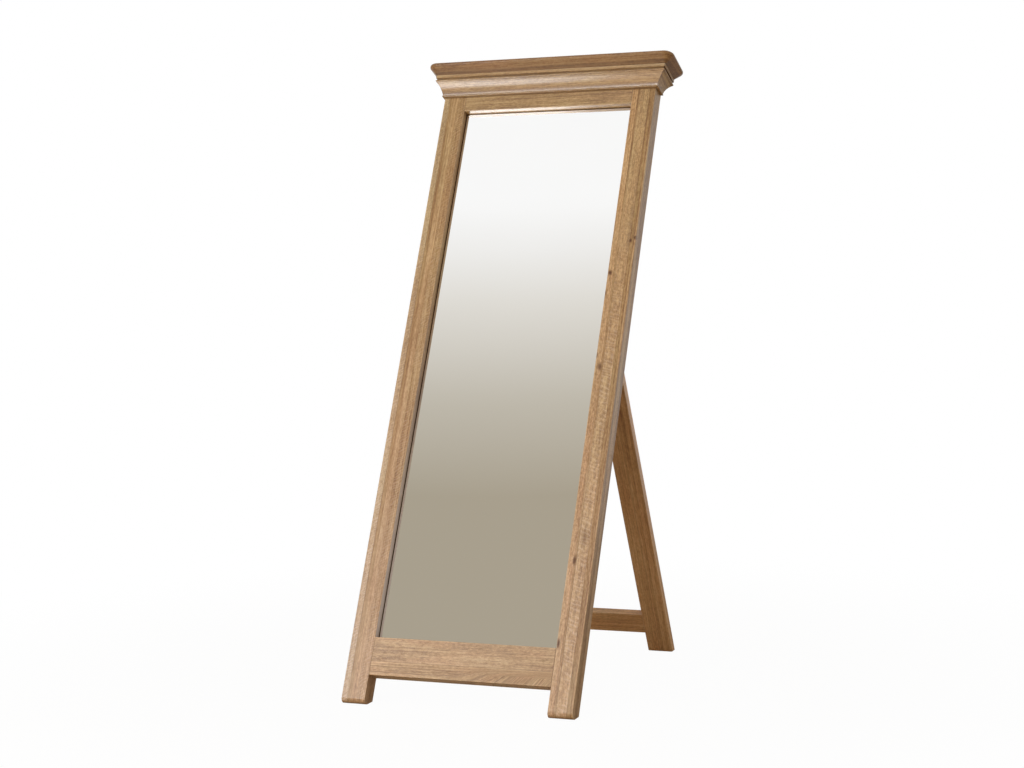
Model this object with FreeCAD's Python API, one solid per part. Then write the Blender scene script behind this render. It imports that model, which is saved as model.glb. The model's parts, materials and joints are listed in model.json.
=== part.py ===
"""A leaning full-length oak mirror with a cornice and a hinged rear stand that folds flat.

The frame is drawn upright in its own axes: X across, Y from front to back, Z up along the front face.
The rear stand is drawn in axes with their origin on the hinge line, Z up along its legs.
Both are then turned to the pose in which the mirror stands on the floor, with its front towards -Y.
"""
import FreeCAD, Part
import math
import os

Vector = FreeCAD.Vector
ACROSS = Vector(1, 0, 0)
BACKWARD = Vector(0, 1, 0)
UPWARD = Vector(0, 0, 1)

# Pose: how far the frame leans back and the legs lean forward, in degrees from the vertical
lean_angle = 25.6
leg_angle = 27.1

# Frame, in millimetres
frame_width = 611.6
stile_width = 64.3
stile_depth = 47.0
rail_depth = 38.5
foot_height = 80.1
bottom_rail_height = 96.3
sight_height = 1489.1
frieze_height = 44.3
arris_radius = 1.2
toe_radius = 14.0
heel_radius = 5.0

# Mortise and tenon joints of the frame
tenon_length = 40.0
tenon_thickness = 12.0
tenon_setback = 10.0
tenon_shoulder = 14.0
tenon_root = 1.0
tenon_clearance = 0.15

# Glass, its backing and the rebate that holds them
glass_recess = 19.3
glass_thickness = 4.0
rebate_width = 9.0
glass_clearance = 0.5
panel_thickness = 5.0
bead_width = 16.0
bead_depth = 10.0
bead_rounding = 6.0
bead_clearance = 0.15
bead_pin_side = 1.6
bead_pin_length = 30.0
side_pin_count = 5
end_pin_count = 2
pin_clearance = 0.05

# Crown moulding, from its lower edge up: bead, cove, nose, groove and fillet
crown_bead_projection = 6.4
crown_bead_height = 4.4
crown_bead_bulge = 1.4
cove_height = 34.0
cove_hollow = 2.8
cove_step = 1.8
nose_projection = 25.6
nose_height = 6.2
nose_bulge = 2.2
groove_height = 4.8
groove_depth = 4.0
fillet_height = 8.7

# Cap board on top of the crown
cap_thickness = 27.8
cap_lip = 0.6
cap_bevel = 29.0
cap_nose_radius = 5.0
cap_low_corner_radius = 4.0
tongue_thickness = 8.0
tongue_in_rail = 13.0
tongue_in_cap = 15.0
tongue_end_margin = 40.0
tongue_clearance = 0.1

# Rear stand
leg_width = 69.0
leg_thickness = 22.5
leg_inset = 4.8
leg_foot_chamfer = 2.0
hinge_height = 897.9
cross_rail_height = 61.5
lower_rail_rise = 62.0
upper_rail_drop = 150.0
stand_tenon_length = 38.0
stand_tenon_thickness = 8.0
stand_tenon_shoulder = 10.0
stand_arris_radius = 1.2
fold_gap = 0.3
stop_gap = 0.3

# Butt hinges let in flush
hinge_length = 44.0
leaf_width = 34.0
leaf_thickness = 2.0
knuckle_radius = 4.5
knuckle_count = 3
knuckle_gap = 0.4
hinge_pin_radius = 2.0
running_clearance = 0.05
seat_clearance = 0.15
pocket_clearance = 0.35
screw_radius = 1.7
screw_head_radius = 3.4
screw_length = 17.0
screw_clearance = 0.08
screw_end_margin = 9.0
screw_row_drop = 20.0

# Places worked out from the sizes above, in the frame's own axes
half_width = frame_width / 2
sight_half = half_width - stile_width
rebate_half = sight_half + rebate_width
bottom_rail_top = foot_height + bottom_rail_height
top_rail_low = bottom_rail_top + sight_height
crown_low = top_rail_low + frieze_height
cove_top = crown_bead_height + cove_height
groove_low = cove_top + nose_height
groove_high = groove_low + groove_height
crown_height = groove_high + fillet_height
cap_low = crown_low + crown_height
cap_top = cap_low + cap_thickness
rebate_low = bottom_rail_top - rebate_width
rebate_high = top_rail_low + rebate_width
panel_front = glass_recess + glass_thickness
bead_front = panel_front + panel_thickness
bead_back = bead_front + bead_depth
bead_outer_half = rebate_half - bead_clearance
bead_inner_half = bead_outer_half - bead_width
bead_low = rebate_low + bead_clearance
bead_high = rebate_high - bead_clearance

# Hinge line in the standing pose, and the floor line seen from it along the legs
lean = math.radians(lean_angle)
tilt = math.radians(leg_angle)
hinge_y = hinge_height * math.sin(lean) + stile_depth * math.cos(lean)
hinge_z = hinge_height * math.cos(lean) - stile_depth * math.sin(lean)
leg_length = hinge_z / math.cos(tilt)
leg_outer = half_width - leg_inset
leg_inner = leg_outer - leg_width
leg_back = fold_gap + leg_thickness
hinge_centre_x = (rebate_half + leg_outer) / 2
hinge_on_frame = Vector(0, stile_depth, hinge_height)
leg_heel_y = hinge_y + (hinge_z + leg_back * math.sin(tilt)) * math.tan(tilt) + leg_back * math.cos(tilt)
rear_reach = leg_heel_y - leg_foot_chamfer * math.sin(tilt)
front_reach = toe_radius / math.tan(math.pi / 4 - lean / 2) - toe_radius
middle_y = (front_reach + rear_reach) / 2

frame_place = FreeCAD.Placement(Vector(0, -middle_y, 0), FreeCAD.Rotation(ACROSS, -lean_angle))
stand_place = FreeCAD.Placement(Vector(0, hinge_y - middle_y, hinge_z), FreeCAD.Rotation(ACROSS, leg_angle))
upright = FreeCAD.Placement()

# Reach of cutting blocks, larger than the whole object, and the slack for picking edges by place
far = 2 * cap_top
slack = 0.01


def block(x0, x1, y0, y1, z0, z1):
    """A plain block between two opposite corners."""
    return Part.makeBox(x1 - x0, y1 - y0, z1 - z0, Vector(x0, y0, z0))


def edges_along(shape, direction):
    """The straight edges of a block that run in one direction."""
    def parallel(edge):
        return abs(edge.tangentAt(edge.FirstParameter).dot(direction)) > 1 - slack

    return [edge for edge in shape.Edges if parallel(edge)]


def eased_board(x0, x1, y0, y1, z0, z1, grain, radius):
    """A planed board whose four long edges are eased."""
    board = block(x0, x1, y0, y1, z0, z1)
    return board.makeFillet(radius, edges_along(board, grain))


def rod(radius, start, direction, length):
    """A round rod from a starting point."""
    return Part.makeCylinder(radius, length, start, direction)


def mirrored(shape):
    """The same piece for the other side of the object."""
    return shape.mirror(Vector(0, 0, 0), ACROSS)


def standing(shape, place):
    """A copy of a piece turned from its own axes to the standing pose."""
    moved = shape.copy()
    moved.Placement = place.multiply(moved.Placement)
    return moved


def save(name, shape, place):
    """Write one piece in the standing pose."""
    standing(shape, place).exportStep("parts/" + name + ".step")


def frame_tenon(low, high, grow):
    """The right-hand tenon of a frame rail, grown on all sides to cut its mortise."""
    return block(
        sight_half - tenon_root, sight_half + tenon_length + grow,
        tenon_setback - grow, tenon_setback + tenon_thickness + grow,
        low - grow, high + grow,
    )


def bottom_tenon(grow):
    """Tenon of the bottom rail, below the rebate."""
    return frame_tenon(foot_height + tenon_shoulder, rebate_low - tenon_shoulder, grow)


def top_tenon(grow):
    """Tenon of the top rail, above the rebate."""
    return frame_tenon(rebate_high + tenon_shoulder, cap_low - tenon_shoulder, grow)


def frame_rail(low, high, rebate_from, rebate_to, tenon):
    """A frame rail with an eased front, a rebate for the glass and a tenon at each end."""
    board = block(-sight_half, sight_half, 0, rail_depth, low, high)
    front_edges = [edge for edge in edges_along(board, ACROSS) if edge.BoundBox.YMax < slack]
    board = board.makeFillet(arris_radius, front_edges)
    rebate = block(-far, far, glass_recess, far, rebate_from, rebate_to)
    return board.cut(rebate).fuse([tenon, mirrored(tenon)]).removeSplitter()


def stile_board():
    """The right-hand stile before its joints are cut: eased edges, level sole, rounded toe and heel."""
    heel_height = stile_depth * math.tan(lean)
    corners = [
        Vector(0, 0, 0),
        Vector(0, stile_depth, heel_height),
        Vector(0, stile_depth, far),
        Vector(0, 0, far),
        Vector(0, 0, 0),
    ]
    outline = Part.Face(Part.makePolygon(corners)).extrude(ACROSS * far)
    toe = [edge for edge in outline.Edges if edge.BoundBox.ZMax < slack]
    outline = outline.makeFillet(toe_radius, toe)
    heel = [edge for edge in edges_along(outline, ACROSS)
            if abs(edge.BoundBox.Center.z - heel_height) < slack]
    outline = outline.makeFillet(heel_radius, heel)
    board = eased_board(sight_half, half_width, 0, stile_depth, 0, cap_low, UPWARD, arris_radius)
    return board.common(outline)


def stile():
    """The right-hand stile with its rebate, mortises and hinge recess."""
    board = stile_board()
    rebate = block(0, rebate_half, glass_recess, far, rebate_low, rebate_high)
    crown_seat = block(0, far, rail_depth, far, crown_low, far)
    cuts = [rebate, crown_seat, bottom_tenon(tenon_clearance), top_tenon(tenon_clearance)]
    cuts += bead_pins(pin_clearance)
    hinge_cuts = [leaf_seat().mirror(Vector(0, 0, 0), BACKWARD), knuckle_pocket()]
    hinge_cuts += screws(-1, screw_clearance)
    cuts += [cut.translated(hinge_on_frame) for cut in hinge_cuts]
    return board.cut(cuts)


def crown_profile():
    """Section of the crown in the plane of projection (Y, outwards negative) and height (Z)."""
    def at(projection, height):
        return Vector(0, -projection, crown_low + height)

    inner_low = at(0, 0)
    bead_under = at(crown_bead_projection - crown_bead_bulge, 0)
    bead_out = at(crown_bead_projection + crown_bead_bulge / 2, crown_bead_height / 2)
    cove_start = at(crown_bead_projection - crown_bead_bulge / 2, crown_bead_height)
    cove_end = at(nose_projection - cove_step, cove_top)
    chord = cove_end - cove_start
    inward = Vector(0, chord.z, -chord.y).normalize()
    cove_middle = (cove_start + cove_end) * 0.5 + inward * cove_hollow
    nose_low = at(nose_projection - nose_bulge, cove_top)
    nose_out = at(nose_projection, cove_top + nose_height / 2)
    nose_high = at(nose_projection - nose_bulge, groove_low)
    corners = [
        nose_high,
        at(nose_projection - groove_depth, groove_low),
        at(nose_projection - groove_depth, groove_high),
        at(nose_projection, groove_high),
        at(nose_projection, crown_height),
        at(0, crown_height),
        inner_low,
        bead_under,
    ]
    edges = [Part.LineSegment(a, b).toShape() for a, b in zip(corners, corners[1:])]
    edges.append(Part.Arc(bead_under, bead_out, cove_start).toShape())
    edges.append(Part.Arc(cove_start, cove_middle, cove_end).toShape())
    edges.append(Part.LineSegment(cove_end, nose_low).toShape())
    edges.append(Part.Arc(nose_low, nose_out, nose_high).toShape())
    return Part.Face(Part.Wire(Part.__sortEdges__(edges)))


def crown_length(half_length):
    """A length of crown along the frame's front, mitred outwards at 45 degrees at both ends."""
    reach = half_length + nose_projection
    section = crown_profile()
    section.translate(Vector(-reach, 0, 0))
    moulding = section.extrude(Vector(2 * reach, 0, 0))
    corners = [
        Vector(-half_length, 0, 0),
        Vector(half_length, 0, 0),
        Vector(reach, -nose_projection, 0),
        Vector(-reach, -nose_projection, 0),
        Vector(-half_length, 0, 0),
    ]
    plan = Part.Face(Part.makePolygon(corners))
    return moulding.common(plan.extrude(Vector(0, 0, far)))


def crown_side():
    """The right-hand return of the crown, from front mitre to back mitre."""
    turned = crown_length(rail_depth / 2)
    turned.rotate(Vector(0, 0, 0), UPWARD, 90)
    return turned.translated(Vector(half_width, rail_depth / 2, 0))


def crown_behind():
    """The crown along the back of the top rail."""
    turned = crown_length(half_width)
    turned.rotate(Vector(0, 0, 0), UPWARD, 180)
    return turned.translated(Vector(0, rail_depth, 0))


def cap_outline(projection, radius, height):
    """Plan outline of the cap at one height: a rectangle with rounded corners."""
    half_x = half_width + projection
    front = -projection
    back = rail_depth + projection
    slab = block(-half_x, half_x, front, back, height, height + 1)
    slab = slab.makeFillet(radius, edges_along(slab, UPWARD))
    lowest = [face for face in slab.Faces if face.BoundBox.ZMax < height + slack]
    return lowest[0].OuterWire


def cornice_cap():
    """Cap board: bevelled all round, with a rounded nose and rounded corners."""
    low_projection = nose_projection + cap_lip
    low_outline = cap_outline(low_projection, cap_low_corner_radius, cap_low)
    top_outline = cap_outline(low_projection + cap_bevel, cap_low_corner_radius + cap_bevel, cap_top)
    board = Part.makeLoft([low_outline, top_outline], True, True)
    nose = [edge for edge in board.Edges if edge.BoundBox.ZMin > cap_top - slack]
    board = board.makeFillet(cap_nose_radius, nose)
    return board.cut(cap_tongue(tongue_clearance))


def cap_tongue(grow):
    """Loose tongue between the top rail and the cap, grown to cut its grooves."""
    half = sight_half - tongue_end_margin + grow
    middle = rail_depth / 2
    half_thickness = tongue_thickness / 2 + grow
    return block(
        -half, half, middle - half_thickness, middle + half_thickness,
        cap_low - tongue_in_rail - grow, cap_low + tongue_in_cap + grow,
    )


def glazing(front, thickness):
    """A sheet that fills the rebate with a small gap all round."""
    half = rebate_half - glass_clearance
    return block(
        -half, half, front, front + thickness,
        rebate_low + glass_clearance, rebate_high - glass_clearance,
    )


def side_bead():
    """The right-hand glazing bead, rounded on its free edge."""
    bead = block(bead_inner_half, bead_outer_half, bead_front, bead_back, bead_low, bead_high)
    free = [edge for edge in edges_along(bead, UPWARD)
            if edge.BoundBox.XMax < bead_inner_half + slack and edge.BoundBox.YMin > bead_back - slack]
    return bead.makeFillet(bead_rounding, free).cut(bead_pins(pin_clearance))


def end_bead(low, high, free_height):
    """A glazing bead between the side beads, rounded on the edge at the free height."""
    half = bead_inner_half - bead_clearance
    bead = block(-half, half, bead_front, bead_back, low, high)
    free = [edge for edge in edges_along(bead, ACROSS)
            if abs(edge.BoundBox.Center.z - free_height) < slack and edge.BoundBox.YMin > bead_back - slack]
    return bead.makeFillet(bead_rounding, free).cut(bead_pins(pin_clearance))


def spread(low, high, count):
    """Evenly spaced places with half a space at each end."""
    step = (high - low) / count
    return [low + step * (place + 0.5) for place in range(count)]


def bead_pins(grow):
    """Square pins that go through the beads into the stiles and rails, grown to cut their holes."""
    half = bead_pin_side / 2 + grow
    length = bead_pin_length + grow
    depth = (bead_front + bead_back) / 2
    front = depth - half
    back = depth + half
    low = bead_low + bead_width
    high = bead_high - bead_width
    pins = []
    for z in spread(low, high, side_pin_count):
        pin = block(bead_inner_half, bead_inner_half + length, front, back, z - half, z + half)
        pins += [pin, mirrored(pin)]
    for x in spread(-bead_inner_half, bead_inner_half, end_pin_count):
        pins.append(block(x - half, x + half, front, back, low - length, low))
        pins.append(block(x - half, x + half, front, back, high, high + length))
    return pins


def knuckle_spans():
    """Start of each knuckle along the hinge, and the length they share."""
    length = (hinge_length - (knuckle_count - 1) * knuckle_gap) / knuckle_count
    first = hinge_centre_x - hinge_length / 2
    return [first + place * (length + knuckle_gap) for place in range(knuckle_count)], length


def hinge_leaf(offset, own_knuckles, other_knuckles, bore_radius):
    """A leaf on the right-hand side, lying behind the hinge line from the given offset."""
    starts, length = knuckle_spans()
    left = hinge_centre_x - hinge_length / 2
    leaf = block(left, left + hinge_length, offset, offset + leaf_thickness, -leaf_width, 0)
    leaf = leaf.fuse([rod(knuckle_radius, Vector(starts[k], 0, 0), ACROSS, length) for k in own_knuckles])
    room = knuckle_radius + knuckle_gap
    cuts = [rod(room, Vector(starts[k] - knuckle_gap, 0, 0), ACROSS, length + 2 * knuckle_gap)
            for k in other_knuckles]
    cuts.append(rod(bore_radius, Vector(left, 0, 0), ACROSS, hinge_length))
    return leaf.cut(cuts).removeSplitter()


def leaf_seat():
    """Shallow recess behind the hinge line that takes a leaf flush."""
    half = hinge_length / 2 + seat_clearance
    return block(
        hinge_centre_x - half, hinge_centre_x + half,
        -knuckle_radius, fold_gap + leaf_thickness + seat_clearance,
        -leaf_width - seat_clearance, 0,
    )


def knuckle_pocket():
    """Round pocket along the hinge line that clears the knuckles and the pin."""
    half = hinge_length / 2 + 2 * pocket_clearance
    start = Vector(hinge_centre_x - half, 0, 0)
    return rod(knuckle_radius + pocket_clearance, start, ACROSS, 2 * half)


def hinge_pin():
    """Pin of the right-hand hinge, just longer than its knuckles."""
    half = hinge_length / 2 + pocket_clearance
    return rod(hinge_pin_radius, Vector(hinge_centre_x - half, 0, 0), ACROSS, 2 * half)


def screws(side, grow):
    """Countersunk screws of one leaf, driven along Y to the given side of the hinge line."""
    direction = BACKWARD * side
    face = fold_gap if side > 0 else 0
    end_place = hinge_length / 2 - screw_end_margin
    head_radius = screw_head_radius + grow
    shank_radius = screw_radius + grow
    shank_length = screw_length - leaf_thickness + grow
    shapes = []
    for across in (-end_place, end_place):
        top = Vector(hinge_centre_x + across, face, -screw_row_drop)
        head = Part.makeCone(head_radius, shank_radius, leaf_thickness, top, direction)
        shank = rod(shank_radius, top + direction * leaf_thickness, direction, shank_length)
        shapes.append(head.fuse(shank).removeSplitter())
    return shapes


def stand_tenon(low, high, grow):
    """The right-hand tenon of a cross rail, grown on all sides to cut its mortise."""
    middle = fold_gap + leg_thickness / 2
    half = stand_tenon_thickness / 2 + grow
    return block(
        leg_inner - tenon_root, leg_inner + stand_tenon_length + grow,
        middle - half, middle + half,
        low + stand_tenon_shoulder - grow, high - stand_tenon_shoulder + grow,
    )


def cross_rail(low):
    """A cross rail of the rear stand with a tenon at each end."""
    high = low + cross_rail_height
    rail = eased_board(-leg_inner, leg_inner, fold_gap, leg_back, low, high, ACROSS, stand_arris_radius)
    tenon = stand_tenon(low, high, 0)
    return rail.fuse([tenon, mirrored(tenon)]).removeSplitter()


def leg(rail_lows):
    """The right-hand rear leg. Its top end is cut parallel to the stile's back and bears there when open."""
    below = block(-far, far, -far, far, -far, 0)
    board = block(leg_inner, leg_outer, fold_gap, leg_back, -far, 2 * leg_thickness)
    board = standing(board, stand_place).cut(below)
    rim = [edge for edge in board.Edges if edge.BoundBox.ZMax < slack]
    board = board.makeChamfer(leg_foot_chamfer, rim)
    board = board.makeFillet(stand_arris_radius, edges_along(board, stand_place.Rotation.multVec(UPWARD)))
    cuts = [stand_tenon(low, low + cross_rail_height, tenon_clearance) for low in rail_lows]
    cuts += [leaf_seat(), knuckle_pocket()]
    cuts += screws(1, screw_clearance)
    frame_room = block(-far, far, -far, stile_depth + stop_gap, -far, far)
    bevel = standing(frame_room, frame_place)
    return board.cut([standing(cut, stand_place) for cut in cuts] + [bevel])


os.makedirs("parts", exist_ok=True)

# Stiles and rails
right_stile = stile()
save("right_stile", right_stile, frame_place)
save("left_stile", mirrored(right_stile), frame_place)
bottom_rail = frame_rail(foot_height, bottom_rail_top, rebate_low, far, bottom_tenon(0))
save("bottom_rail", bottom_rail.cut(bead_pins(pin_clearance)), frame_place)
top_rail = frame_rail(top_rail_low, cap_low, -far, rebate_high, top_tenon(0))
top_rail = top_rail.cut(bead_pins(pin_clearance) + [cap_tongue(tongue_clearance)])
save("top_rail", top_rail, frame_place)

# Cornice
save("crown_front", crown_length(half_width), frame_place)
save("crown_right", crown_side(), frame_place)
save("crown_left", mirrored(crown_side()), frame_place)
save("crown_back", crown_behind(), frame_place)
save("cornice_cap", cornice_cap(), frame_place)
save("cap_tongue", cap_tongue(0), frame_place)

# Glass and what holds it
save("mirror_glass", glazing(glass_recess, glass_thickness), frame_place)
save("back_panel", glazing(panel_front, panel_thickness), frame_place)
save("bead_right", side_bead(), frame_place)
save("bead_left", mirrored(side_bead()), frame_place)
save("bead_bottom", end_bead(bead_low, bead_low + bead_width, bead_low + bead_width), frame_place)
save("bead_top", end_bead(bead_high - bead_width, bead_high, bead_high - bead_width), frame_place)
save("bead_pins", Part.makeCompound(bead_pins(0)), frame_place)

# Rear stand
lower_rail_low = lower_rail_rise - leg_length
upper_rail_low = -upper_rail_drop - cross_rail_height
right_leg = leg((lower_rail_low, upper_rail_low))
save("right_leg", right_leg, upright)
save("left_leg", mirrored(right_leg), upright)
save("lower_cross_rail", cross_rail(lower_rail_low), stand_place)
save("upper_cross_rail", cross_rail(upper_rail_low), stand_place)

# Hinges: the frame's leaf holds the outer and middle knuckles, the leg's leaf the ones between
frame_knuckles = range(0, knuckle_count, 2)
leg_knuckles = range(1, knuckle_count, 2)
tight_bore = hinge_pin_radius + running_clearance / 2
loose_bore = hinge_pin_radius + running_clearance
frame_leaf = hinge_leaf(-leaf_thickness, frame_knuckles, leg_knuckles, tight_bore)
frame_leaf = frame_leaf.cut(screws(-1, screw_clearance)).translated(hinge_on_frame)
leg_leaf = hinge_leaf(fold_gap, leg_knuckles, frame_knuckles, loose_bore)
leg_leaf = leg_leaf.cut(screws(1, screw_clearance))
pin = hinge_pin().translated(hinge_on_frame)
frame_screws = Part.makeCompound(screws(-1, 0)).translated(hinge_on_frame)
leg_screws = Part.makeCompound(screws(1, 0))
save("right_hinge_frame_leaf", frame_leaf, frame_place)
save("left_hinge_frame_leaf", mirrored(frame_leaf), frame_place)
save("right_hinge_leg_leaf", leg_leaf, stand_place)
save("left_hinge_leg_leaf", mirrored(leg_leaf), stand_place)
save("right_hinge_pin", pin, frame_place)
save("left_hinge_pin", mirrored(pin), frame_place)
save("hinge_frame_screws", Part.makeCompound([frame_screws, mirrored(frame_screws)]), frame_place)
save("hinge_leg_screws", Part.makeCompound([leg_screws, mirrored(leg_screws)]), stand_place)

print("hinge line y", round(hinge_y - middle_y, 3), "z", round(hinge_z, 3))
print("fold angle", round(lean_angle + leg_angle, 3))
print("front sole starts at y", round(front_reach + toe_radius - middle_y, 3))
print("rear soles end at y", round(leg_heel_y - middle_y, 3))
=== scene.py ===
"""Looks of a leaning oak mirror with a cornice and a hinged rear stand."""
import json
import math

import bpy
from mathutils import Matrix, Vector

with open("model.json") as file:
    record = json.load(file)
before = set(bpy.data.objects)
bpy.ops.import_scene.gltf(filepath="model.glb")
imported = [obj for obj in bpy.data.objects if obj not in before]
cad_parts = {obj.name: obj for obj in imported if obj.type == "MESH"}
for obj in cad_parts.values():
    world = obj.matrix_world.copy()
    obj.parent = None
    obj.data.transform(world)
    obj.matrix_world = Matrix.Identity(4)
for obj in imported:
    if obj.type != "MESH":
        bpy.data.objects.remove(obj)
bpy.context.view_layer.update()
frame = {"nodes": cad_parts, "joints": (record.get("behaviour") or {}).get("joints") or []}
nodes = frame["nodes"]
scene = bpy.context.scene

# Poses of the two bodies, as in the part: the frame leans back and the legs lean forward
lean = math.radians(25.6)
leg_tilt = math.radians(27.1)
foot_line = Vector((0, -0.43363, 0))
hinge_line = Vector(frame["joints"][0]["pos_m"])

# Camera: place and angles in which the photograph's edges fall on the part's edges
image_width = 1024
image_height = 768
focal_pixels = 1957.05
camera_place = Vector((1.87517, -4.72675, 1.12334))
camera_yaw = math.radians(21.38)
camera_pitch = math.radians(-4.388)
camera_roll = math.radians(-1.084)
optical_centre = (521.77, 397.99)
sensor_width = 36.0

# Studio: plain light levels, and the room that glossy surfaces mirror. Lengths are in metres
ambient_level = 0.38
ambient_slope = 0.22
ambient_side = Vector((0, -0.45, 0.8))
key_level = 38.0
key_place = Vector((-1.45, -2.55, 0.78))
key_size = (0.95, 1.35)
sheen_level = 270.0
sheen_place = Vector((-5.64, -10.96, 7.65))
sheen_size = (6.0, 1.0)
top_level = 23.0
top_place = Vector((0.25, -1.8, 4.2))
top_size = (2.0, 2.0)
aim_point = Vector((0, 0, 0.8))
floor_half = 30.0
floor_tone = (0.62, 0.54, 0.44, 1)
floor_glow = 0.97
floor_glow_span = (0.7, 2.2)
floor_gleam_span = (1.3, 4.5)
room_behind_span = (-0.1, 0.3)
glow_axis = Vector((-0.309, 0, 1)).normalized()
glow_stops = (
    (0.35, (1, 1, 1, 1)),
    (0.60, (0.417, 0.369, 0.287, 1)),
    (0.7189, (0.417, 0.369, 0.287, 1)),
    (0.7519, (0.550, 0.512, 0.437, 1)),
    (0.7838, (0.775, 0.750, 0.700, 1)),
    (0.8004, (0.910, 0.901, 0.884, 1)),
    (0.8140, (1, 1, 1, 1)),
)
white = (1, 1, 1, 1)

# Oak: tones from the dark to the light grain, in linear colour
oak_dark = (0.25, 0.128, 0.042, 1)
oak_mid = (0.42, 0.245, 0.088, 1)
oak_light = (0.56, 0.368, 0.158, 1)
oak_fleck = (0.68, 0.49, 0.29, 1)
oak_pore = (0.17, 0.08, 0.028, 1)
knot_tone = (0.115, 0.038, 0.010, 1)
# Painted pale sheen on the stile's face beside the glass
painted_sheen_tone = (0.60, 0.51, 0.45, 1)
# Tone of the dark joint lines and of the bands of painted shade
joint_and_shade_tone = (0.13, 0.062, 0.022, 1)
grain_middle = 0.5
grain_reach = 0.16
grain_stops = (
    (grain_middle - grain_reach, oak_dark),
    (grain_middle, oak_mid),
    (grain_middle + grain_reach, oak_light),
)

# Oak: tints that the tones are multiplied by, and the quieter grain of the stand
plain_tint = (1, 1, 1, 1)
red_tint = (1.03, 0.975, 0.97, 1)
# Painted whitish sheen, stronger towards the floor
low_sheen_tint = (1.01, 1.04, 1.34, 1)
top_rail_tint = (1.0, 0.99, 0.93, 1)
# The bottom rail's tint; its raised blue is a painted whitish sheen low on the frame
bottom_rail_sheen_tint = (1.03, 1.05, 1.30, 1)
crown_tint = (0.95, 0.93, 0.90, 1)
# The cap's darker tint is painted shade on its downward-facing bevel
cap_shade_tint = (0.67, 0.565, 0.475, 1)
# The stand's brighter tint is painted fill light on its shaded legs and rails
stand_fill_light_tint = (1.60, 1.52, 1.70, 1)
stand_contrast = 0.75

# Oak: sizes of its marks across, through and along a board, in metres
stave_shift = (0.7, 0.7, 5.0)
heart_shift = (0.05, 0.05, 0.0)
wander_size = (0.09, 0.09, 0.55)
wobble_size = (0.02, 0.02, 0.05)
fibre_size = (0.0030, 0.0030, 0.042)
cloud_size = (0.03, 0.03, 0.25)
mottle_size = (0.0045, 0.0045, 0.009)
red_size = (0.035, 0.035, 0.22)
patch_size = (0.04, 0.04, 0.11)
pore_size = (0.0007, 0.0007, 0.016)
rub_size = (0.004, 0.004, 0.02)
bark_size = (0.0015, 0.0015, 0.002)
ray_spacing_size = (0.25, 0.25, 0.035)
ray_bow_size = (0.018, 0.018, 0.030)
ray_break_size = (0.013, 0.013, 0.010)
ray_spot_size = (0.0065, 0.0078, 1.0)
knot_swerve = 0.006

# Oak: how close its rings lie, how fine they are, and a knot's depth in radii
rings_per_metre = 130.0
late_rings_per_metre = 90.0
ring_detail = 4.0
ring_detail_share = 0.72
knot_depth = 4

# Oak: distances from a line or an edge over which its mark thins out, in metres
joint_edge = (0.0003, 0.0014)
shoulder_edge = (0.0005, 0.0018)
mitre_edge = (0.0004, 0.0016)
# Rubbed edges, partly wear and partly a painted edge highlight
worn_and_highlit_reach = (0.0008, 0.0040)

# Oak: values between which a mark comes in, from none to full
red_span = (0.38, 0.62)
late_span = (0.32, 0.5)
patch_span = (0.30, 0.56)
pore_span = (0.58, 0.70)
knot_span = (0.7, 1.9)
ray_line_span = (0.16, 0.48)
ray_break_span = (0.30, 0.52)
ray_spot_span = (0.15, 0.50)
fleck_facing_span = (0.5, 0.8)
end_facing_span = (0.6, 0.95)
painted_sheen_facing_span = (0.8, 0.95)

# Oak: heights on the frame between which the painted sheen beside the glass fades, and below which the
# painted sheen near the floor is full, in metres
painted_sheen_height_span = (0.2, 1.2)
pale_low = 0.1

# Oak: how strongly each mark shows
ring_share = 0.50
fibre_share = 0.50
cloud_share = 0.30
wobble_share = 0.12
late_share = 0.16
late_bent_share = 0.55
ray_spacing_share = 3.4
ray_bow_share = 1.3
ripple_least = 0.3
ripple_fade = 0.8
bead_least = 0.6
pore_share = 0.45
worn_and_highlight_share = 0.35
end_share = 0.55
# Painted sheen beside the glass: its strength, and how much of it fades towards the top
painted_sheen_share = 0.7
painted_sheen_fall = 0.65
shoulder_share = 0.45
band_core = 0.4

# Oak: waxed surface with open pores
oak_roughness = 0.28
fibre_roughness = 0.16
pore_roughness = 0.15
fibre_height = 0.5
pore_height = -0.8
relief_strength = 0.35
relief_depth = 0.0004
oak_specular = 0.38
coat_roughness = 0.18

# Glass: silvered, with a border of painted shade at the sight edge, standing for the shaded gap between
# the rebate and the silvering
silver_tones = ((0.935, 0.935, 0.93, 1), (0.945, 0.945, 0.94, 1))
gap_shade_tone = (0.14, 0.105, 0.075, 1)
gap_shade_width = 0.0032
gap_shade_blur = 0.0006
smudge_size = (0.12, 0.12, 0.12)
smudge_roughness = 0.004

# Backing board
backing_stops = (
    (0.36, (0.16, 0.092, 0.048, 1)),
    (0.5, (0.24, 0.148, 0.082, 1)),
    (0.64, (0.32, 0.21, 0.125, 1)),
)
strand_size = (0.0016, 0.0016, 0.0016)
strand_share = 0.65
strand_strength = 0.3
strand_depth = 0.0003
backing_cloud_size = (0.10, 0.10, 0.14)
backing_cloud_share = 0.35
backing_roughness = 0.45
strand_roughness = 0.25

# Metal: bright and tarnished tones
brass_tones = ((0.66, 0.49, 0.22, 1), (0.42, 0.28, 0.11, 1))
steel_tones = ((0.55, 0.55, 0.55, 1), (0.38, 0.37, 0.36, 1))
tarnish_size = (0.006, 0.006, 0.006)
tarnish_span = (0.35, 0.65)
metal_roughness = 0.2
tarnish_roughness = 0.3


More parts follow.
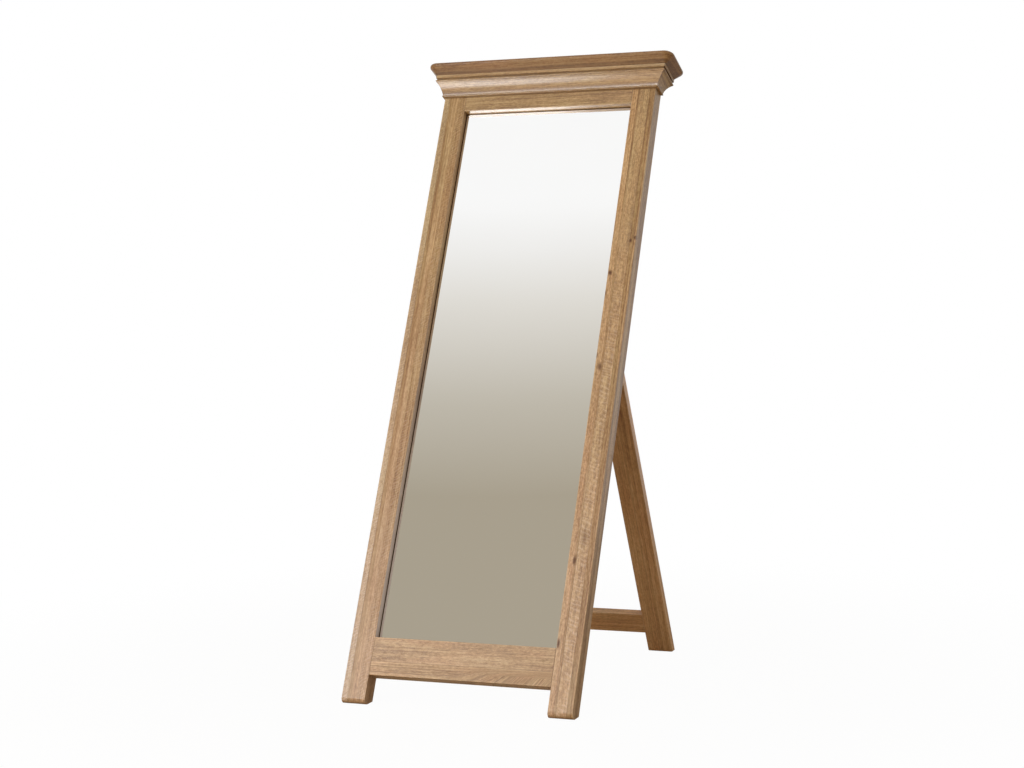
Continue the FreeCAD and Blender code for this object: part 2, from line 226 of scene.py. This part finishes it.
class Tree:
    """Short calls for building the node tree of a material or a world."""

    def __init__(self, owner):
        owner.use_nodes = True
        self.owner = owner
        self.nodes = owner.node_tree.nodes
        self.links = owner.node_tree.links
        self.nodes.clear()

    def add(self, kind, *inputs, **settings):
        """A node whose inputs, in order, are values or other sockets."""
        node = self.nodes.new(kind)
        for name, value in settings.items():
            setattr(node, name, value)
        sockets = [socket for socket in node.inputs if socket.enabled]
        for socket, value in zip(sockets, inputs):
            self.put(socket, value)
        return node

    def put(self, socket, value):
        """Set a socket to a value or link it to another socket."""
        if isinstance(value, bpy.types.NodeSocket):
            self.links.new(value, socket)
        else:
            socket.default_value = value

    def fill(self, node, inputs):
        """Set or link a node's inputs by their names."""
        for name, value in inputs.items():
            self.put(node.inputs[name], value)

    def math(self, operation, *inputs):
        return self.add("ShaderNodeMath", *inputs, operation=operation).outputs[0]

    def remainder(self, share):
        """What a share leaves of 1."""
        return self.math("SUBTRACT", 1.0, share)

    def centred(self, value):
        """A value from 0 to 1, moved so that its middle is 0."""
        return self.math("SUBTRACT", value, 0.5)

    def waves(self, phase):
        """Even waves from 0 to 0.5 and back, one for each whole step of a phase."""
        return self.math("PINGPONG", phase, 0.5)

    def vector(self, operation, *inputs):
        node = self.add("ShaderNodeVectorMath", *inputs, operation=operation)
        return node.outputs["Value" if operation in ("DOT_PRODUCT", "LENGTH") else "Vector"]

    def span(self, value, low, high):
        """A value mapped from a span to 0 to 1, held at both ends, with soft ends."""
        node = self.add("ShaderNodeMapRange", value, low, high, 0.0, 1.0, interpolation_type="SMOOTHSTEP")
        return node.outputs[0]

    def noise(self, place, size, detail=2.0, roughness=0.5, distortion=0.0):
        """Noise whose grains have the given size along each axis."""
        node = self.add("ShaderNodeTexNoise", self.vector("DIVIDE", place, size), 1.0, detail, roughness)
        node.inputs["Distortion"].default_value = distortion
        return node.outputs[0]

    def mix(self, share, first, second, blend="MIX"):
        """Two colours mixed by a share."""
        node = self.nodes.new("ShaderNodeMix")
        node.data_type = "RGBA"
        node.blend_type = blend
        for name, value in (("Factor_Float", share), ("A_Color", first), ("B_Color", second)):
            self.put(next(s for s in node.inputs if s.identifier == name), value)
        return next(s for s in node.outputs if s.identifier == "Result_Color")

    def tinted(self, colour, tint):
        """A colour multiplied by a tint."""
        return self.mix(1.0, colour, tint, "MULTIPLY")

    def ramp(self, share, *stops):
        """A colour ramp through (place, colour) stops."""
        node = self.add("ShaderNodeValToRGB", share)
        elements = node.color_ramp.elements
        while len(elements) < len(stops):
            elements.new(0.5)
        for element, (place, colour) in zip(elements, stops):
            element.position = place
            element.color = colour
        return node.outputs[0]

    def relief(self, height, strength, depth):
        """The surface's direction where a height raises and sinks it."""
        node = self.nodes.new("ShaderNodeBump")
        self.fill(node, {"Strength": strength, "Distance": depth, "Height": height})
        return node.outputs[0]


def make_camera():
    """The camera at the photograph's viewing angle."""
    across = Vector((math.cos(camera_yaw), math.sin(camera_yaw), 0))
    level = math.cos(camera_pitch)
    forward = Vector((-math.sin(camera_yaw) * level, math.cos(camera_yaw) * level, math.sin(camera_pitch)))
    above = across.cross(forward)
    right = across * math.cos(camera_roll) + above * math.sin(camera_roll)
    upward = above * math.cos(camera_roll) - across * math.sin(camera_roll)
    turn = Matrix((right, upward, -forward)).transposed()
    data = bpy.data.cameras.new("camera")
    data.sensor_width = sensor_width
    data.lens = focal_pixels * sensor_width / image_width
    data.shift_x = (image_width / 2 - optical_centre[0]) / image_width
    data.shift_y = (optical_centre[1] - image_height / 2) / image_width
    camera = bpy.data.objects.new("camera", data)
    camera.matrix_world = Matrix.Translation(camera_place) @ turn.to_4x4()
    scene.collection.objects.link(camera)
    scene.camera = camera


def make_light(name, place, size, level):
    """A soft lamp that faces the object."""
    data = bpy.data.lights.new(name, "AREA")
    data.shape = "RECTANGLE"
    data.size, data.size_y = size
    data.energy = level
    lamp = bpy.data.objects.new(name, data)
    lamp.location = place
    lamp.rotation_euler = (aim_point - place).to_track_quat("-Z", "Y").to_euler()
    scene.collection.objects.link(lamp)
    return lamp


def mirrored_share(tree, path):
    """1 where a ray comes from metal or glass, else 0."""
    return tree.math("MAXIMUM", path.outputs["Is Glossy Ray"], path.outputs["Is Transmission Ray"])


def make_world():
    """Even light, a white background, and the wall and bright ceiling that glossy surfaces mirror."""
    world = bpy.data.worlds.new("studio")
    scene.world = world
    tree = Tree(world)
    path = tree.add("ShaderNodeLightPath")
    direction = tree.add("ShaderNodeTexCoord").outputs["Generated"]
    height = tree.vector("DOT_PRODUCT", direction, glow_axis)
    behind = tree.span(tree.add("ShaderNodeSeparateXYZ", direction).outputs["Y"], *room_behind_span)
    mirrored_tone = tree.mix(behind, tree.ramp(height, *glow_stops), white)
    side = tree.vector("DOT_PRODUCT", direction, ambient_side)
    level = tree.math("MULTIPLY_ADD", side, ambient_slope, ambient_level)
    even = tree.add("ShaderNodeBackground", white, level).outputs[0]
    backdrop = tree.add("ShaderNodeBackground", white, 1.0).outputs[0]
    mirrored_room = tree.add("ShaderNodeBackground", mirrored_tone, 1.0).outputs[0]
    seen = tree.add("ShaderNodeMixShader", path.outputs["Is Camera Ray"], even, backdrop).outputs[0]
    seen = tree.add("ShaderNodeMixShader", mirrored_share(tree, path), seen, mirrored_room).outputs[0]
    tree.add("ShaderNodeOutputWorld", seen)


def make_floor():
    """A pale floor that keeps the object's shadow."""
    mesh = bpy.data.meshes.new("floor")
    corners = [(x * floor_half, y * floor_half, 0) for x, y in ((-1, -1), (1, -1), (1, 1), (-1, 1))]
    mesh.from_pydata(corners, [], [(0, 1, 2, 3)])
    floor = bpy.data.objects.new("floor", mesh)
    scene.collection.objects.link(floor)
    tree = Tree(bpy.data.materials.new("floor"))
    path = tree.add("ShaderNodeLightPath")
    distance = tree.vector("LENGTH", tree.add("ShaderNodeTexCoord").outputs["Object"])
    away = tree.span(distance, *floor_glow_span)
    shown = tree.math("MULTIPLY_ADD", away, 1 - floor_glow, floor_glow)
    shown = tree.math("MULTIPLY", shown, path.outputs["Is Camera Ray"])
    gleam = tree.span(distance, *floor_gleam_span)
    share = tree.math("MULTIPLY_ADD", mirrored_share(tree, path), gleam, shown)
    matt = tree.add("ShaderNodeBsdfDiffuse", floor_tone).outputs[0]
    glow = tree.add("ShaderNodeEmission", white, 1.0).outputs[0]
    seen = tree.add("ShaderNodeMixShader", share, matt, glow).outputs[0]
    tree.add("ShaderNodeOutputMaterial", seen)
    mesh.materials.append(tree.owner)


class Axes:
    """Axes of a board: across its face, through its thickness and along its grain."""

    def __init__(self, origin, across, through, along):
        self.origin = origin
        self.turn = Matrix((across, through, along))

    def corner(self, name, pick):
        """Corner of a CAD node's box in these axes, where pick is min or max."""
        points = [self.turn @ (vertex.co - self.origin) for vertex in nodes[name].data.vertices]
        return Vector(map(pick, zip(*points)))

    def lowest(self, name):
        return self.corner(name, min)

    def highest(self, name):
        return self.corner(name, max)

    def place(self, tree, coordinates):
        """The object's own coordinates, turned into these axes."""
        mapping = tree.add("ShaderNodeMapping", coordinates.outputs["Object"])
        mapping.inputs["Location"].default_value = -(self.turn @ self.origin)
        mapping.inputs["Rotation"].default_value = self.turn.to_euler("XYZ")
        return mapping.outputs[0]


def board_axes(origin, tilt):
    """Axes of the upright boards, the boards across and the boards from front to back of a body."""
    x_axis = Vector((1, 0, 0))
    back = Vector((0, math.cos(tilt), -math.sin(tilt)))
    up = Vector((0, math.sin(tilt), math.cos(tilt)))
    upright = Axes(origin, x_axis, back, up)
    crosswise = Axes(origin, -up, back, x_axis)
    inward = Axes(origin, x_axis, -up, back)
    return upright, crosswise, inward


class Stave:
    """A strip of a board: its end as a share of the width, its tint, and the strength of its marks."""

    def __init__(self, end=1.0, tint=plain_tint, ripple=0.0, bead=0.0, streaks=1.0, speckle=0.4,
                 joint=0.22):
        self.end = end
        self.tint = tint
        self.ripple = ripple
        self.bead = bead
        self.streaks = streaks
        self.speckle = speckle
        self.joint = joint


class Oak:
    """How one board's timber looks. Lengths are in metres.

    seed: a number that gives each board its own figure
    tint, staves: colour of the whole board, and the strips it is glued from
    pith, slope: where the tree's heart lies across and through the board, and how it drifts along it
    wave, contrast: how far the rings wander, and how much the grain stands out
    bend: where and how steeply the grain curves, and the span across the board in which it does
    rays: how close the ripple's lines are, and their slant
    ripple_top: heights between which the ripple fades
    pale_top: height below which a painted whitish sheen grows towards the floor
    knots: places across and along, radius, stretch along the grain, strength
    ends: half of the length between a rail's shoulders
    mitred: whether the ends meet their neighbours in mitres
    bands: height on the frame, reach and strength of bands of painted shade
    coat, coat_index: how much wax lies on the board, and how dense it is
    inner: side of the stile's face beside the glass that gets a painted pale sheen, 1 or -1
    """

    def __init__(self, seed, tint=plain_tint, staves=(Stave(),), pith=(0.06, 0.14), slope=(0.0, 0.02),
                 wave=0.010, contrast=1.2, bend=None, rays=None, ripple_top=None, pale_top=None, knots=(),
                 ends=None, mitred=False, bands=(), coat=0.01, coat_index=2.6, inner=0):
        self.seed = seed
        self.tint = tint
        self.staves = staves
        self.pith = pith
        self.slope = slope
        self.wave = wave
        self.contrast = contrast
        self.bend = bend
        self.rays = rays
        self.ripple_top = ripple_top
        self.pale_top = pale_top
        self.knots = knots
        self.ends = ends
        self.mitred = mitred
        self.bands = bands
        self.coat = coat
        self.coat_index = coat_index
        self.inner = inner


class Board:
    """Sockets of one board's places: the point itself, its three parts, and the point moved per stave."""

    def __init__(self, tree, name, axes, look):
        self.tree = tree
        self.turn = axes.turn
        self.low = axes.lowest(name)
        self.high = axes.highest(name)
        self.coordinates = tree.add("ShaderNodeTexCoord")
        self.place = axes.place(tree, self.coordinates)
        self.across, self.through, self.along = tree.add("ShaderNodeSeparateXYZ", self.place).outputs
        width = self.high.x - self.low.x
        self.joints = [self.low.x + stave.end * width for stave in look.staves[:-1]]
        self.beyond = [tree.math("GREATER_THAN", self.across, joint) for joint in self.joints]
        stave_number = self.by_stave(range(look.seed, look.seed + len(look.staves)))
        chance = tree.add("ShaderNodeTexWhiteNoise", stave_number, noise_dimensions="1D")
        self.chance = chance.outputs["Color"]
        self.grain_across = self.across
        self.bent = 0.0
        if look.bend:
            start, rate, low, high = look.bend
            run = tree.math("MAXIMUM", tree.math("SUBTRACT", self.along, start), 0.0)
            rise = tree.math("MULTIPLY", tree.math("MULTIPLY", run, run), rate)
            self.bent = tree.span(self.across, low, high)
            self.grain_across = tree.math("MULTIPLY_ADD", rise, self.bent, self.across)
        grain = tree.add("ShaderNodeCombineXYZ", self.grain_across, self.through, self.along).outputs[0]
        self.spot = tree.vector("ADD", grain, tree.vector("MULTIPLY", self.chance, stave_shift))

    def by_stave(self, values):
        """A number that differs from stave to stave."""
        values = list(values)
        total = self.tree.math("ADD", 0.0, values[0])
        for beyond, before, after in zip(self.beyond, values, values[1:]):
            total = self.tree.math("MULTIPLY_ADD", beyond, after - before, total)
        return total

    def facing(self, axis):
        """How squarely the surface faces along one of the board's axes, from -1 to 1."""
        return self.tree.vector("DOT_PRODUCT", self.coordinates.outputs["Normal"], self.turn.row[axis])


def edge_gap(tree, value, low, high):
    """Distance of a coordinate from the nearer of two faces."""
    return tree.math("MINIMUM", tree.math("SUBTRACT", value, low), tree.math("SUBTRACT", high, value))


def apart(tree, first, second):
    """Distance between two values."""
    return tree.math("ABSOLUTE", tree.math("SUBTRACT", first, second))


def knot_marks(tree, board, knots):
    """How far each point belongs to a knot, from 0 to 1."""
    share = 0.0
    for across, along, radius, stretch, strength in knots:
        offset = tree.vector("SUBTRACT", board.place, (across, board.low.y, along))
        reach = (radius, knot_depth * radius, stretch * radius)
        distance = tree.vector("LENGTH", tree.vector("DIVIDE", offset, reach))
        distance = tree.math("ADD", distance, tree.noise(board.place, bark_size))
        inside = tree.remainder(tree.span(distance, *knot_span))
        share = tree.math("MAXIMUM", share, tree.math("MULTIPLY", inside, strength))
    return share


def ring_radius(tree, board, look, knot):
    """Distance from the tree's heart, with a slow wander, round knots too."""
    wander = tree.math("MULTIPLY", tree.centred(tree.noise(board.spot, wander_size)), look.wave)
    wobble = tree.noise(board.spot, wobble_size)
    wander = tree.math("MULTIPLY_ADD", wobble, wobble_share * look.wave, wander)
    wander = tree.math("MULTIPLY_ADD", knot, knot_swerve, wander)
    side = tree.math("SUBTRACT", board.grain_across, look.pith[0])
    side = tree.math("MULTIPLY_ADD", board.along, look.slope[0], side)
    depth = tree.math("SUBTRACT", board.through, look.pith[1])
    depth = tree.math("MULTIPLY_ADD", board.along, look.slope[1], depth)
    radial = tree.add("ShaderNodeCombineXYZ", side, depth).outputs[0]
    radial = tree.vector("ADD", radial, tree.vector("MULTIPLY", board.chance, heart_shift))
    return tree.math("ADD", tree.vector("LENGTH", radial), wander)


def grain_colour(tree, board, look, radius, fibres):
    """Colour of the growth rings and fibres, with redder stretches and dark late wood."""
    rings = tree.add("ShaderNodeTexNoise", noise_dimensions="1D")
    tree.fill(rings, {
        "W": radius,
        "Scale": rings_per_metre,
        "Detail": ring_detail,
        "Roughness": ring_detail_share,
    })
    clouds = tree.noise(board.spot, cloud_size)
    mottle = tree.noise(board.spot, mottle_size, detail=3.0, roughness=0.65)
    grain = tree.math("MULTIPLY", fibres, fibre_share)
    grain = tree.centred(tree.math("MULTIPLY_ADD", rings.outputs[0], ring_share, grain))
    grain = tree.math("MULTIPLY", grain, board.by_stave(stave.streaks for stave in look.staves))
    grain = tree.math("MULTIPLY_ADD", tree.centred(clouds), cloud_share, grain)
    speckle = board.by_stave(stave.speckle for stave in look.staves)
    grain = tree.math("MULTIPLY_ADD", tree.centred(mottle), speckle, grain)
    grain = tree.math("MULTIPLY_ADD", grain, look.contrast, grain_middle)
    colour = tree.ramp(grain, *grain_stops)
    red = tree.span(tree.noise(board.spot, red_size), *red_span)
    colour = tree.mix(red, colour, tree.tinted(colour, red_tint))
    late = tree.waves(tree.math("MULTIPLY", radius, late_rings_per_metre))
    strength = tree.math("MULTIPLY_ADD", board.bent, late_bent_share, late_share)
    late = tree.math("MULTIPLY", tree.span(late, *late_span), strength)
    return tree.mix(late, colour, oak_dark)


def ripple_lines(tree, board, rate, slope):
    """Light slanting lines across the grain, where the rays come to the surface."""
    spacing = tree.noise(board.spot, ray_spacing_size)
    bow = tree.noise(board.spot, ray_bow_size)
    middle = tree.math("SUBTRACT", board.across, 0.5 * (board.low.x + board.high.x))
    slant = tree.math("MULTIPLY_ADD", middle, slope, board.along)
    phase = tree.math("MULTIPLY_ADD", slant, rate, tree.math("MULTIPLY", spacing, ray_spacing_share))
    phase = tree.math("MULTIPLY_ADD", bow, ray_bow_share, phase)
    line = tree.span(tree.waves(phase), *ray_line_span)
    broken = tree.span(tree.noise(board.spot, ray_break_size), *ray_break_span)
    return tree.math("MULTIPLY", line, broken)


def bead_spots(tree, board):
    """Small pale spots in close rows, where the rays are cut at a slant."""
    girth = tree.math("ADD", board.across, board.through)
    flat = tree.add("ShaderNodeCombineXYZ", girth, board.along).outputs[0]
    cells = tree.vector("DIVIDE", flat, ray_spot_size)
    spots = tree.add("ShaderNodeTexVoronoi", cells, voronoi_dimensions="2D").outputs["Distance"]
    return tree.remainder(tree.span(spots, *ray_spot_span))


def ray_fleck(tree, board, look):
    """How far each point shows ray fleck: slanting lines, and rows of small spots."""
    patches = tree.span(tree.noise(board.spot, patch_size), *patch_span)
    share = 0.0
    if look.rays:
        amount = tree.math("MULTIPLY_ADD", patches, 1 - ripple_least, ripple_least)
        amount = tree.math("MULTIPLY", amount, board.by_stave(stave.ripple for stave in look.staves))
        if look.ripple_top:
            lost = tree.math("MULTIPLY", tree.span(board.along, *look.ripple_top), ripple_fade)
            amount = tree.math("MULTIPLY", amount, tree.remainder(lost))
        share = tree.math("MULTIPLY", ripple_lines(tree, board, *look.rays), amount)
    if any(stave.bead for stave in look.staves):
        amount = tree.math("MULTIPLY_ADD", patches, 1 - bead_least, bead_least)
        amount = tree.math("MULTIPLY", amount, board.by_stave(stave.bead for stave in look.staves))
        share = tree.math("MAXIMUM", share, tree.math("MULTIPLY", bead_spots(tree, board), amount))
    facing = tree.span(tree.math("ABSOLUTE", board.facing(1)), *fleck_facing_span)
    return tree.math("MULTIPLY", share, facing)


def board_tint(tree, board, look, colour):
    """A colour in the tints of its stave and board, with a painted whitish sheen towards the floor."""
    tint = look.staves[0].tint
    for beyond, stave in zip(board.beyond, look.staves[1:]):
        tint = tree.mix(beyond, tint, stave.tint)
    colour = tree.tinted(tree.tinted(colour, tint), look.tint)
    # Painted sheen: paler and bluer towards the floor
    if look.pale_top:
        pale = tree.remainder(tree.span(board.along, pale_low, look.pale_top))
        colour = tree.mix(pale, colour, tree.tinted(colour, low_sheen_tint))
    return colour


def worn_and_highlit_edges(tree, board):
    """How far each point lies on a rubbed edge, paled partly as wear and partly as a painted edge
    highlight.
    """
    rub = tree.noise(board.spot, rub_size, detail=3.0)
    across_gap = edge_gap(tree, board.across, board.low.x, board.high.x)
    through_gap = edge_gap(tree, board.through, board.low.y, board.high.y)
    far = tree.span(tree.math("ADD", across_gap, through_gap), *worn_and_highlit_reach)
    return tree.math("MULTIPLY", tree.math("MULTIPLY", tree.remainder(far), rub), worn_and_highlight_share)


def end_grain(tree, board):
    """How far each point lies on an end of the board."""
    facing = tree.span(tree.math("ABSOLUTE", board.facing(2)), *end_facing_span)
    return tree.math("MULTIPLY", facing, end_share)


def painted_sheen_beside_glass(tree, board, side):
    """How far each point gets a painted pale sheen on the stile's face beside the glass, most of all low
    down.
    """
    facing = tree.span(tree.math("MULTIPLY", board.facing(0), side), *painted_sheen_facing_span)
    fall = tree.math("MULTIPLY", tree.span(board.along, *painted_sheen_height_span), painted_sheen_fall)
    strength = tree.math("SUBTRACT", painted_sheen_share, fall)
    strength = tree.math("MULTIPLY", strength, tree.math("GREATER_THAN", board.along, sight_low))
    return tree.math("MULTIPLY", facing, strength)


def dark_lines(tree, board, look):
    """Dark lines: glued joints, the shoulders of a rail, bands of painted shade and the mitres of the
    crown.
    """
    lines = []
    for joint, stave in zip(board.joints, look.staves):
        lines.append((apart(tree, board.across, joint), joint_edge, stave.joint))
    if look.ends:
        gap = tree.math("SUBTRACT", look.ends, tree.math("ABSOLUTE", board.along))
        lines.append((gap, shoulder_edge, shoulder_share))
    if look.mitred or look.bands:
        place = frame_upright.place(tree, board.coordinates)
        across, through, along = tree.add("ShaderNodeSeparateXYZ", place).outputs
    # Painted shade: darker bands under the crown and cap, in the groove, on the crown's foot and at the
    # toes
    for height, reach, strength in look.bands:
        lines.append((apart(tree, along, height), (band_core * reach, reach), strength))
    if look.mitred:
        beside = tree.math("SUBTRACT", tree.math("ABSOLUTE", across), half_width)
        in_front = tree.math("MULTIPLY", through, -1.0)
        outside = tree.math("MAXIMUM", in_front, tree.math("SUBTRACT", through, frame_depth))
        lines.append((apart(tree, beside, outside), mitre_edge, 1.0))
    share = 0.0
    for gap, edge, strength in lines:
        line = tree.math("MULTIPLY", tree.remainder(tree.span(gap, *edge)), strength)
        share = tree.math("MAXIMUM", share, line)
    return share


def cover(tree, inputs, *names):
    """End a material with its shader and give it to CAD nodes."""
    shader = tree.add("ShaderNodeBsdfPrincipled")
    tree.fill(shader, inputs)
    tree.add("ShaderNodeOutputMaterial", shader.outputs[0])
    for name in names:
        mesh = nodes[name].data
        mesh.materials.clear()
        mesh.materials.append(tree.owner)


def oak(name, axes, look):
    """Oak for one board: glued staves, growth rings, fibres, pores, ray fleck, knots, rubbed edges with a
    painted edge highlight, painted sheen and bands of painted shade.
    """
    tree = Tree(bpy.data.materials.new("oak_" + name))
    board = Board(tree, name, axes, look)
    fibres = tree.noise(board.spot, fibre_size, detail=3.0, roughness=0.65)
    pores = tree.span(tree.noise(board.spot, pore_size, detail=1.0), *pore_span)
    knot = knot_marks(tree, board, look.knots)
    radius = ring_radius(tree, board, look, knot)

    colour = grain_colour(tree, board, look, radius, fibres)
    colour = tree.mix(ray_fleck(tree, board, look), colour, oak_fleck)
    colour = tree.mix(tree.math("MULTIPLY", pores, pore_share), colour, oak_pore)
    colour = board_tint(tree, board, look, colour)
    colour = tree.mix(knot, colour, knot_tone)
    # Rubbed edges: partly wear and partly a painted edge highlight
    colour = tree.mix(worn_and_highlit_edges(tree, board), colour, oak_fleck)
    colour = tree.mix(end_grain(tree, board), colour, oak_dark)
    # Painted sheen: a pale tone mixed into the stile's face beside the glass, strongest low down
    if look.inner:
        colour = tree.mix(painted_sheen_beside_glass(tree, board, look.inner), colour, painted_sheen_tone)
    colour = tree.mix(dark_lines(tree, board, look), colour, joint_and_shade_tone)

    roughness = tree.math("MULTIPLY_ADD", fibres, fibre_roughness, oak_roughness)
    height = tree.math("MULTIPLY_ADD", pores, pore_height, tree.math("MULTIPLY", fibres, fibre_height))
    cover(tree, {
        "Base Color": colour,
        "Roughness": tree.math("MULTIPLY_ADD", pores, pore_roughness, roughness),
        "Normal": tree.relief(height, relief_strength, relief_depth),
        "Specular IOR Level": oak_specular,
        "Coat Weight": look.coat,
        "Coat Roughness": coat_roughness,
        "Coat IOR": look.coat_index,
    }, name)


def silvered_glass(name, axes):
    """Mirror glass: silvered, with a border of painted shade round the sight edge."""
    tree = Tree(bpy.data.materials.new("silvered_glass"))
    coordinates = tree.add("ShaderNodeTexCoord")
    place = tree.add("ShaderNodeSeparateXYZ", axes.place(tree, coordinates)).outputs
    smudge = tree.noise(coordinates.outputs["Object"], smudge_size)
    beside = edge_gap(tree, place["X"], -sight_half, sight_half)
    gap = tree.math("MINIMUM", beside, edge_gap(tree, place["Z"], sight_low, sight_high))
    # Painted shade: a dark border round the sight edge
    inside = tree.span(gap, gap_shade_width - gap_shade_blur, gap_shade_width + gap_shade_blur)
    cover(tree, {
        "Base Color": tree.mix(inside, gap_shade_tone, tree.mix(smudge, *silver_tones)),
        "Metallic": 1.0,
        "Roughness": tree.math("MULTIPLY", smudge, smudge_roughness),
    }, name)


def backing_board(name):
    """Pressed board behind the glass: fine short fibres with faint clouds."""
    tree = Tree(bpy.data.materials.new("backing_board"))
    place = tree.add("ShaderNodeTexCoord").outputs["Object"]
    strands = tree.noise(place, strand_size, detail=4.0, roughness=0.7, distortion=1.2)
    clouds = tree.noise(place, backing_cloud_size, detail=3.0)
    shade = tree.math("MULTIPLY", strands, strand_share)
    shade = tree.math("MULTIPLY_ADD", clouds, backing_cloud_share, shade)
    cover(tree, {
        "Base Color": tree.ramp(shade, *backing_stops),
        "Roughness": tree.math("MULTIPLY_ADD", strands, strand_roughness, backing_roughness),
        "Normal": tree.relief(strands, strand_strength, strand_depth),
    }, name)


def worn_metal(title, tones, *names):
    """Metal with patches of tarnish."""
    tree = Tree(bpy.data.materials.new(title))
    place = tree.add("ShaderNodeTexCoord").outputs["Object"]
    patches = tree.noise(place, tarnish_size, detail=4.0, roughness=0.6)
    cover(tree, {
        "Base Color": tree.mix(tree.span(patches, *tarnish_span), *tones),
        "Metallic": 1.0,
        "Roughness": tree.math("MULTIPLY_ADD", patches, tarnish_roughness, metal_roughness),
    }, *names)


scene.view_settings.view_transform = "Standard"
make_camera()
make_world()
make_light("key", key_place, key_size, key_level)
make_light("sheen", sheen_place, sheen_size, sheen_level).visible_diffuse = False
make_light("top", top_place, top_size, top_level).visible_glossy = False
make_floor()

frame_upright, frame_crosswise, frame_inward = board_axes(foot_line, lean)
stand_upright, stand_crosswise = board_axes(hinge_line, -leg_tilt)[:2]

# Places on the frame, taken from its pieces: sight opening, outer half width, depth, crown and cap
sight_half = frame_upright.lowest("right_stile").x
sight_low = frame_upright.highest("bottom_rail").z
sight_high = frame_upright.lowest("top_rail").z
half_width = frame_upright.highest("right_stile").x
frame_depth = frame_upright.highest("top_rail").y
crown_low = frame_upright.lowest("crown_front").z
cap_low = frame_upright.lowest("cornice_cap").z

# Bands of painted shade under the crown and the cap, in the crown's groove, on the crown's foot and at the
# stiles' toes: height on the frame, reach and strength
toe_shade = (0.0, 0.012, 0.3)
shade_under_crown = (crown_low - 0.0004, 0.0036, 0.6)
shade_on_crown_foot = (crown_low + 0.004, 0.013, 0.28)
shade_in_crown_groove = (cap_low - 0.0111, 0.0030, 0.55)
shade_under_cap = (cap_low, 0.0105, 0.45)

# Staves of the wide boards
left_staves = (
    Stave(0.25, (0.985, 1.025, 1.10, 1), ripple=0.5, bead=0.6, streaks=0.6, speckle=0.6, joint=0.35),
    Stave(0.42, (0.98, 0.98, 1.01, 1), streaks=0.8, speckle=0.2, joint=0.0),
    Stave(0.64, (1.09, 1.135, 1.27, 1), streaks=0.6, speckle=0.3, joint=0.0),
    Stave(1.0, (0.935, 0.92, 0.935, 1), ripple=0.25, streaks=0.8, speckle=0.4),
)
right_staves = (
    Stave(0.25, (1.19, 1.175, 1.25, 1), ripple=0.08, streaks=0.7, speckle=0.5),
    Stave(0.33, (0.98, 0.95, 0.95, 1)),
    Stave(0.75, (1.09, 1.085, 1.05, 1), ripple=0.45, bead=0.4, streaks=0.5, speckle=0.65),
    Stave(0.90, (0.87, 0.83, 0.75, 1)),
    Stave(1.0, (1.00, 0.97, 0.93, 1)),
)
rail_staves = (Stave(0.62, bead=0.3, streaks=0.8, speckle=0.5), Stave())
leg_staves = (Stave(0.5), Stave(1.0, (0.94, 0.93, 0.92, 1)))

# Knots, bark marks and faint dark clouds: place across and along, radius, stretch along, strength
left_knots = ((-0.262, 0.454, 0.0160, 14.0, 0.16),)
right_knots = (
    (0.248, 1.170, 0.0064, 1.2, 1.0),
    (0.2545, 0.909, 0.0062, 1.9, 0.80),
    (0.258, 0.3965, 0.0050, 2.5, 1.0),
    (0.2455, 0.188, 0.0050, 2.7, 1.0),
    (0.2915, 1.261, 0.0042, 1.6, 1.0),
    (0.3025, 1.269, 0.0042, 1.6, 0.95),
    (0.2975, 1.279, 0.0075, 2.6, 0.25),
    (0.2425, 1.1125, 0.0034, 2.6, 0.70),
    (0.2425, 0.940, 0.0034, 3.0, 0.70),
    (0.2755, 0.456, 0.0120, 2.2, 0.38),
)

oak("left_stile", frame_upright, Oak(
    1, staves=left_staves, rays=(120.0, -0.6), pale_top=1.7, knots=left_knots, bands=(shade_under_crown, toe_shade),
    inner=1))
oak("right_stile", frame_upright, Oak(
    5, staves=right_staves, rays=(86.0, 0.36), ripple_top=(0.9, 1.4), pale_top=1.7, knots=right_knots,
    bands=(shade_under_crown, toe_shade), inner=-1))
oak("top_rail", frame_crosswise, Oak(
    9, top_rail_tint, ends=sight_half, bands=(shade_under_crown,), coat=0.7, coat_index=1.5))
oak("bottom_rail", frame_crosswise, Oak(
    12, bottom_rail_sheen_tint, rail_staves, pith=(-0.02, 0.05), wave=0.016, contrast=1.15,
    bend=(-0.02, 3.0, -0.116, -0.098), ends=sight_half))
oak("crown_front", frame_crosswise, Oak(
    15, crown_tint, mitred=True, bands=(shade_in_crown_groove, shade_on_crown_foot), coat=0.16))
oak("crown_back", frame_crosswise, Oak(17, crown_tint, mitred=True, bands=(shade_in_crown_groove,)))
oak("crown_left", frame_inward, Oak(19, crown_tint, mitred=True, bands=(shade_in_crown_groove,)))
oak("crown_right", frame_inward, Oak(21, crown_tint, mitred=True, bands=(shade_in_crown_groove,)))
oak("cornice_cap", frame_crosswise, Oak(23, cap_shade_tint, bands=(shade_under_cap,)))
oak("cap_tongue", frame_crosswise, Oak(25))
oak("bead_left", frame_upright, Oak(27))
oak("bead_right", frame_upright, Oak(29))
oak("bead_top", frame_crosswise, Oak(31))
oak("bead_bottom", frame_crosswise, Oak(33))
oak("left_leg", stand_upright, Oak(35, stand_fill_light_tint, leg_staves, contrast=stand_contrast))
oak("right_leg", stand_upright, Oak(38, stand_fill_light_tint, leg_staves, contrast=stand_contrast))
oak("lower_cross_rail", stand_crosswise, Oak(41, stand_fill_light_tint, contrast=stand_contrast))
oak("upper_cross_rail", stand_crosswise, Oak(43, stand_fill_light_tint, contrast=stand_contrast))
backing_board("back_panel")
silvered_glass("mirror_glass", frame_upright)
worn_metal(
    "brass", brass_tones,
    "left_hinge_frame_leaf", "right_hinge_frame_leaf", "left_hinge_leg_leaf", "right_hinge_leg_leaf",
    "left_hinge_pin", "right_hinge_pin", "hinge_frame_screws", "hinge_leg_screws",
)
worn_metal("steel", steel_tones, "bead_pins")
